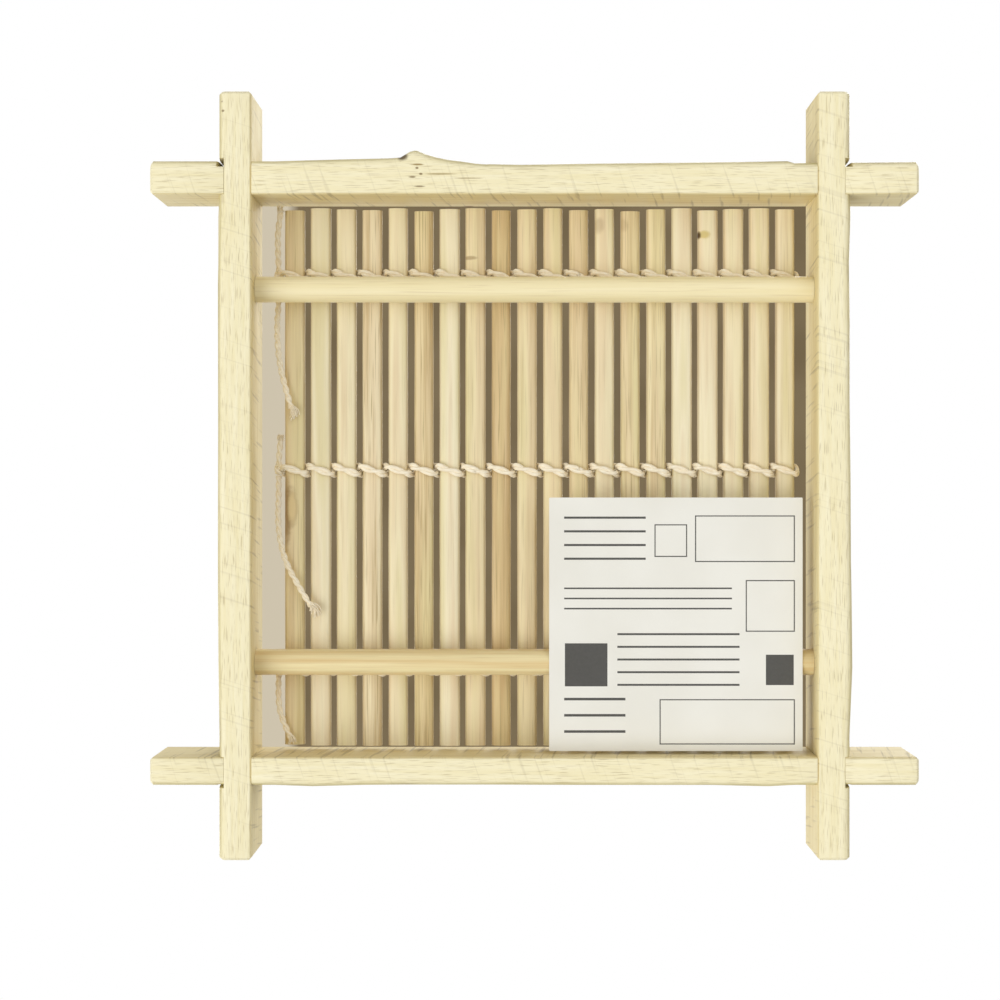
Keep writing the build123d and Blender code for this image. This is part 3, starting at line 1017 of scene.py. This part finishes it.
def curve_points(name, controls, resolution):
    """Points along a NURBS line through those control points, closely spaced."""
    data = bpy.data.curves.new(name, "CURVE")
    data.dimensions = "3D"
    data.resolution_u = resolution
    spline = data.splines.new("NURBS")
    spline.points.add(len(controls) - 1)
    for point, control in zip(spline.points, controls):
        point.co = (*control, 1)
    spline.order_u = NURBS_ORDER
    spline.use_endpoint_u = True
    holder = place_object(name, data)
    bpy.context.view_layer.update()
    mesh = bpy.data.meshes.new_from_object(holder)
    points = [vertex.co.copy() for vertex in mesh.vertices]
    bpy.data.objects.remove(holder)
    bpy.data.meshes.remove(mesh)
    return points


def run_controls(first_gap, last_gap, level, side):
    """Control points of one run over a slat, from mid gap to mid gap."""
    ways = 1 if last_gap > first_gap else -1
    start_x = gap_line[first_gap]
    end_x = gap_line[last_gap]
    start_y = side * STRAND_OFFSET
    height = level * STRAND_REACH
    reach = end_x - start_x
    return [
        (start_x + ways * CORNER_X, start_y, height - level * CORNER_DROP),
        (start_x + ways * FLAT_X, start_y * FLAT_SHARE, height),
        (start_x + reach * RUN_SHARE, start_y * RUN_LEAN, height),
        (start_x + reach * (1 - RUN_SHARE), -start_y * RUN_LEAN, height),
        (end_x - ways * FLAT_X, -start_y * FLAT_SHARE, height),
        (end_x - ways * CORNER_X, -start_y, height - level * CORNER_DROP),
    ]


def strand_line(row_place):
    """One strand's points: out along the row, round the last slat, and back."""
    count = len(slat_names)
    out = [(gap, gap + 1) for gap in range(count)]
    back = [(gap, gap - 1) for gap in range(count, 0, -1)]
    turn = (gap_line[count], 0, 0)
    start, end = [(gap_line[0], way * 0.5 * STRAND_OFFSET, 0) for way in (-1, 1)]
    controls = [start]
    level = side = -1
    for runs, last in ((out, turn), (back, end)):
        for first_gap, last_gap in runs:
            controls += run_controls(first_gap, last_gap, level, side)
            level = -level
            side = -side
        controls.append(last)
        side = -side
    return [Vector((x, row_place + y, mat_height + z)) for x, y, z in controls]


print("rows:", ", ".join(ROWS))

# %% [markdown]
# Two neighbours meet on the middle of a slat, where nothing bends, and overlap there by a
# hair so that no seam opens. The line first gets extra points at those places, each with
# its length from the start, and the cuts only choose among these points.

# %% Cutting a strand into pieces
SEAM_OVERLAP = 0.3 * MM
SEAM_REACH = SEAM_OVERLAP * 1.01
HINGE_REACH = 0.9 * MM
ACROSS_ROW = (0, 1, 0)
ACROSS_TAIL = (1, 0, 0)
slat_middles = [place + pitch / 2 for place in gap_line[:-1]]
seams = [middle + way * SEAM_OVERLAP for middle in slat_middles for way in (-1, 1)]


def measured(points):
    """Points of a line, each with the length of the line up to it."""
    total = 0.0
    line = [(points[0], total)]
    for before, after in zip(points, points[1:]):
        total += (after - before).length
        line.append((after, total))
    return line


def with_cuts(line):
    """The measured line with extra points where it passes the seams."""
    fuller = [line[0]]
    for (before, start), (after, end) in zip(line, line[1:]):
        ways = 1 if after.x > before.x else -1
        for cut in sorted(seams, key=lambda value: ways * value):
            if (before.x - cut) * (after.x - cut) < 0:
                share = (cut - before.x) / (after.x - before.x)
                fuller.append((before.lerp(after, share), start + share * (end - start)))
        fuller.append((after, end))
    return fuller


def strand_mesh(name, lines, flat_way):
    """A mesh of loose lines with the attributes that the twine tree reads."""
    items = [item for line in lines for item in line]
    edges = []
    for line in lines:
        first = edges[-1][1] + 1 if edges else 0
        edges += [(number, number + 1) for number in range(first, first + len(line) - 1)]
    mesh = bpy.data.meshes.new(name)
    mesh.from_pydata([point for point, _ in items], edges, [])
    run = mesh.attributes.new("run_length", "FLOAT", "POINT")
    run.data.foreach_set("value", [length for _, length in items])
    way = mesh.attributes.new("flat_way", "FLOAT_VECTOR", "POINT")
    way.data.foreach_set("vector", list(flat_way) * len(items))
    return mesh


def laid(name, lines, flat_way, body, node, **values):
    """Two-ply twine along the measured lines, as one piece."""
    settings = {"Material": twine_fibre, **values}
    piece = grown(name, twine_tree, settings, strand_mesh(f"{name}_line", lines, flat_way))
    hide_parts(node)
    if body:
        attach(piece, body)
    return piece


def part_of(halves, low, high):
    """What both halves of a strand have between two places in x."""
    return [[item for item in half if low <= item[0].x <= high] for half in halves]


strand_faces = 0
for node, row_place in ROWS.items():
    points = curve_points(f"{node}_path", strand_line(row_place), resolution=8)
    apex = max(range(len(points)), key=lambda number: points[number].x)
    line = measured(points)
    halves = (with_cuts(line[: apex + 1]), with_cuts(line[apex:]))
    for gap in range(1, len(slat_names)):
        low = slat_middles[gap - 1] - SEAM_REACH
        high = slat_middles[gap] + SEAM_REACH
        piece = laid(f"{node}_{gap:02d}", part_of(halves, low, high), ACROSS_ROW, None, node)
        place = Vector((gap_line[gap], row_place, mat_height))
        reach = Vector((HINGE_REACH, 0, 0))
        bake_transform(piece)
        strand_faces += len(piece.data.polygons)
    left_end = part_of(halves, -math.inf, slat_middles[0] + SEAM_REACH)
    laid(f"{node}_left", left_end, ACROSS_ROW, "mat_01", node)
    out, back = part_of(halves, slat_middles[-1] - SEAM_REACH, math.inf)
    laid(f"{node}_loop", [out + back], ACROSS_ROW, f"mat_{len(slat_names)}", node)
print("twine of", strand_faces, "faces in three rows")

# %% [markdown]
# Each row is tied off at the left with a small hard knot. A trefoil is the shortest closed
# knot, and at this size it reads as one: the same twine tree follows it.

# %% Knots
KNOT_RADIUS = 0.34 * MM
KNOT_STRETCH = 1.3
KNOT_STEPS = 48
KNOT_WAY = (1, 0.2, 0.1)
KNOT_LAY = {"Ply Radius": 0.36 * MM, "Spread": 0.28 * MM, "Lay Length": 4.0 * MM}


def knot_points(centre):
    """A trefoil round a point, drawn out along the row."""
    points = []
    for step in range(KNOT_STEPS + 1):
        turn = 2 * math.pi * step / KNOT_STEPS
        x = KNOT_STRETCH * math.sin(3 * turn)
        y = math.cos(turn) - 2 * math.cos(2 * turn)
        z = math.sin(turn) + 2 * math.sin(2 * turn)
        points.append(centre + KNOT_RADIUS * Vector((x, y, z)))
    return points


# %% [markdown]
# Past the knots the twine hangs loose: a short stub in each row, and a longer tail in two of
# them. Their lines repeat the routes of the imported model, so they leave the knots where the
# solids do. A loose end is rounder than a woven strand, because nothing presses it flat.

# %% Loose ends of the rows
KNOT_X = -61.641
TAILS = {
    "front_tail": (-46.8, (
        (0, 0, 0), (0, 4.7, 0), (-0.3, 10.2, -1.2), (0.1, 17.4, -2.5), (1.5, 24.3, -2.9),
        (3.4, 30.4, -3.0),
    )),
    "middle_tail": (-0.1, (
        (0, 0, 0), (0, 4.9, 0), (-0.1, 11.3, -1.4), (1.2, 18.8, -2.8), (4.3, 25.3, -3.1),
        (8.1, 31.2, -3.2),
    )),
}
STUBS = {
    "front_twine": (-49.6, ((0, 0, 0), (-0.1, -4.4, -0.6), (-0.1, -9.3, -1.8), (0.8, -13.6, -2.7))),
    "middle_twine": (-2.9, ((0, 0, 0), (0.1, -2.7, -0.1), (0.5, -5.6, -0.3))),
    "back_twine": (47.8, ((0, 0, 0), (-0.1, 4.7, -0.8), (0.7, 10.0, -2.4), (3.2, 14.9, -2.9))),
}
TAIL_LAY = {
    "Ply Radius": 0.43 * MM,
    "Spread": 0.32 * MM,
    "Flatness": 0.85,
    "Lay Length": 4.4 * MM,
    "Fuzz": 0.05 * MM,
}
TUFT_LENGTH = 3.6 * MM
STUB_TUFT_LENGTH = 2.0 * MM
TUFT_OVERLAP = 0.5 * MM


def route_controls(start_y, route):
    """The control points of a loose end, in metres."""
    return [Vector((KNOT_X + x, start_y + y, mat_height / MM + z)) * MM for x, y, z in route]


# %% [markdown]
# Cut twine frays: its plies open into fibres that spread a few millimetres past the end.
# The tree puts one bent fibre on a point many times over, each turned a little at random,
# and gives them a thin four-sided body.

# %% Geometry tree: frayed fibres
tree, given, leaving = new_geometry_tree(
    "Frayed fibres",
    [
        ("Tip", "Vector", (0, 0, 0)),
        ("Heading", "Vector", (0, 1, 0)),
        ("Fibres", "Int", 46),
        ("Length", "Float", 3.6 * MM),
        ("Opening", "Float", 0.36),
        ("Bundle", "Float", 0.46 * MM),
        ("Thickness", "Float", 0.12 * MM),
        ("Seed", "Int", 0),
    ],
)
inputs = {0: (-1, -1, -1), 1: (1, 1, 1), "Seed": given["Seed"]}
scatter = add_node(tree, "FunctionNodeRandomValue", inputs, data_type="FLOAT_VECTOR")
spread = vector_node("SCALE", scatter, scale=given["Bundle"])
starts = vector_node("ADD", given["Tip"], spread)
points = add_node(tree, "GeometryNodePoints", {"Count": given["Fibres"], "Position": starts})
reach = vector_node("SCALE", given["Heading"], scale=given["Length"])
sideways = vector_node("CROSS_PRODUCT", reach, (0.2, 0.1, 0.35))
middle = vector_node("ADD", vector_node("SCALE", reach, scale=0.55), sideways)
inputs = {"Resolution": 7, "Start": (0, 0, 0), "Middle": middle, "End": reach}
bend = add_node(tree, "GeometryNodeCurveQuadraticBezier", inputs)
widest = vector_node("SCALE", (1.0, 1.0, 1.0), scale=given["Opening"])
narrowest = vector_node("SCALE", widest, scale=-1.0)
inputs = {0: narrowest, 1: widest, "Seed": math_node("ADD", given["Seed"], 7.0)}
turning = add_node(tree, "FunctionNodeRandomValue", inputs, data_type="FLOAT_VECTOR")
inputs = {2: 0.45, 3: 1.0, "Seed": math_node("ADD", given["Seed"], 13.0)}
sizes = add_node(tree, "FunctionNodeRandomValue", inputs, data_type="FLOAT").outputs[1]
inputs = {"Points": points, "Instance": bend, "Rotation": turning, "Scale": sizes}
copies = add_node(tree, "GeometryNodeInstanceOnPoints", inputs)
fibre_lines = add_node(tree, "GeometryNodeRealizeInstances", {0: copies})
inputs = {"Resolution": 4, "Radius": given["Thickness"]}
ring = add_node(tree, "GeometryNodeCurvePrimitiveCircle", inputs)
finish_tree(swept(fibre_lines, ring), given, leaving)
fray_tree = tree


def frayed(name, line, seed, node, length):
    """A tuft of fibres at the end of a line."""
    heading = (line[-1] - line[-4]).normalized()
    values = {
        "Tip": line[-1] - heading * TUFT_OVERLAP,
        "Heading": heading,
        "Length": length,
        "Seed": seed,
        "Material": twine_fibre,
    }
    tuft = grown(name, fray_tree, values)
    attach(tuft, "mat_01")
    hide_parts(node)
    return tuft


for node, (start_y, route) in STUBS.items():
    stub = curve_points(f"{node}_stub", route_controls(start_y, route), resolution=12)
    laid(f"{node}_stub", [measured(stub)], ACROSS_TAIL, "mat_01", node, **TAIL_LAY)
    frayed(f"{node}_stub_tuft", stub, len(stub), node, STUB_TUFT_LENGTH)
    knot = knot_points(Vector((KNOT_X * MM, ROWS[node], mat_height)))
    laid(f"{node}_knot", [measured(knot)], KNOT_WAY, "mat_01", node, **KNOT_LAY)

for node, (start_y, route) in TAILS.items():
    path = curve_points(f"{node}_route", route_controls(start_y, route), resolution=16)
    line = measured(path)
    tail = laid(f"{node}_twine", [line], ACROSS_TAIL, "mat_01", node, **TAIL_LAY)
    tuft = frayed(f"{node}_tuft", path, len(node), node, TUFT_LENGTH)
    print(node, "length", round(line[-1][1] / MM, 1), "mm")

# %% [markdown]
# The label is thin uncoated paper with a blank form printed on its underside: ruled lines to
# write on, empty frames and two plain blocks. Shader maths draws them in shares of the
# label's side, so they follow its size, and the way the surface faces keeps the back blank.

# %% Label material
PAPER = srgb(240, 238, 228)
PAPER_SHADE = srgb(228, 225, 212)
RULE_GREY = srgb(56, 55, 53)
RULE_SHARE = 0.16
FIELD_MARGIN = 0.001
FRAME_WIDTH = 0.0045
INK_STRENGTH = 0.95
FIELDS = (
    ((0.06, 0.38), (0.075, 0.275), 0.054),
    ((0.06, 0.72), (0.355, 0.465), 0.04),
    ((0.27, 0.75), (0.535, 0.745), 0.05),
    ((0.06, 0.3), (0.79, 0.97), 0.064),
)
FRAMES = (
    ((0.42, 0.54), (0.11, 0.23)),
    ((0.58, 0.965), (0.075, 0.25)),
    ((0.78, 0.965), (0.33, 0.525)),
    ((0.44, 0.965), (0.8, 0.97)),
)
BLOCKS = (((0.062, 0.23), (0.575, 0.745)), ((0.855, 0.965), (0.62, 0.74)))

label_low, label_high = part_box("paper_label")
label_side = label_high.y - label_low.y
label_paper, tree, surface = new_material("label_paper")
coordinates = add_node(tree, "ShaderNodeTexCoord").outputs
place = coordinates["Object"]
fibre = noise_node(place, 1500.0, detail=3.0)
cloud = ranged(noise_node(place, 60.0), 0.35, 0.65, 0.0, 0.4)
parts = axes(place)
from_left, from_top = [
    math_node("DIVIDE", minus(parts[axis], low), label_side)
    for axis, low in (("X", label_low.x), ("Y", label_low.y))
]


def inside_of(first, last, value):
    """One where a value lies between two others, else zero."""
    middle = minus(value, (first + last) / 2)
    return math_node("LESS_THAN", math_node("ABSOLUTE", middle), (last - first) / 2)


def in_box(across, down, margin=0.0):
    """One inside a rectangle of the label, else zero."""
    wide = inside_of(across[0] - margin, across[1] + margin, from_left)
    tall = inside_of(down[0] - margin, down[1] + margin, from_top)
    return times(wide, tall)


printed = []
for across, down, spacing in FIELDS:
    lines = math_node("DIVIDE", minus(from_top, down[0]), spacing)
    thin = math_node("LESS_THAN", math_node("FRACT", lines), RULE_SHARE)
    printed.append(times(thin, in_box(across, down, FIELD_MARGIN)))
for across, down in FRAMES:
    outside = in_box(across, down, FRAME_WIDTH)
    printed.append(minus(outside, in_box(across, down)))
printed += [in_box(across, down) for across, down in BLOCKS]
ink = printed[0]
for shape in printed[1:]:
    ink = math_node("MAXIMUM", ink, shape)
facing = axes(coordinates["Normal"])["Z"]
ink = times(ink, math_node("LESS_THAN", facing, -0.5))
ink = times(ink, INK_STRENGTH)
colour = mixed(ink, mixed(cloud, PAPER, PAPER_SHADE), RULE_GREY)
looks = {"Base Color": colour, "Roughness": ranged(fibre, 0.3, 0.7, 0.5, 0.7)}
finished(surface, fibre, 0.25, 0.03 * MM, looks)
print("label form of", len(printed), "shapes")

# %% Label
CORNER_ROUNDING = 0.25 * MM
CORNER_SEGMENTS = 3
work = bmesh.new()
bmesh.ops.create_cube(work, size=1.0)
bmesh.ops.scale(work, vec=label_high - label_low, verts=work.verts)
bmesh.ops.translate(work, vec=(label_low + label_high) / 2, verts=work.verts)
upright = [e for e in work.edges if abs(e.verts[0].co.z - e.verts[1].co.z) > 0.1 * MM]
bmesh.ops.bevel(
    work,
    geom=upright,
    offset=CORNER_ROUNDING,
    segments=CORNER_SEGMENTS,
    affect="EDGES",
    profile=0.5,
)
label_mesh = bpy.data.meshes.new("label_sheet")
work.to_mesh(label_mesh)
work.free()
label_mesh.materials.append(label_paper)
label = place_object("label_sheet", label_mesh)
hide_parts("paper_label")
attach(label, "frame")
print("label", round((label_high.x - label_low.x) / MM), "mm square")

# %% Sizes
low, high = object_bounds()
print("visual size in mm:", [round(v / MM, 1) for v in high - low])
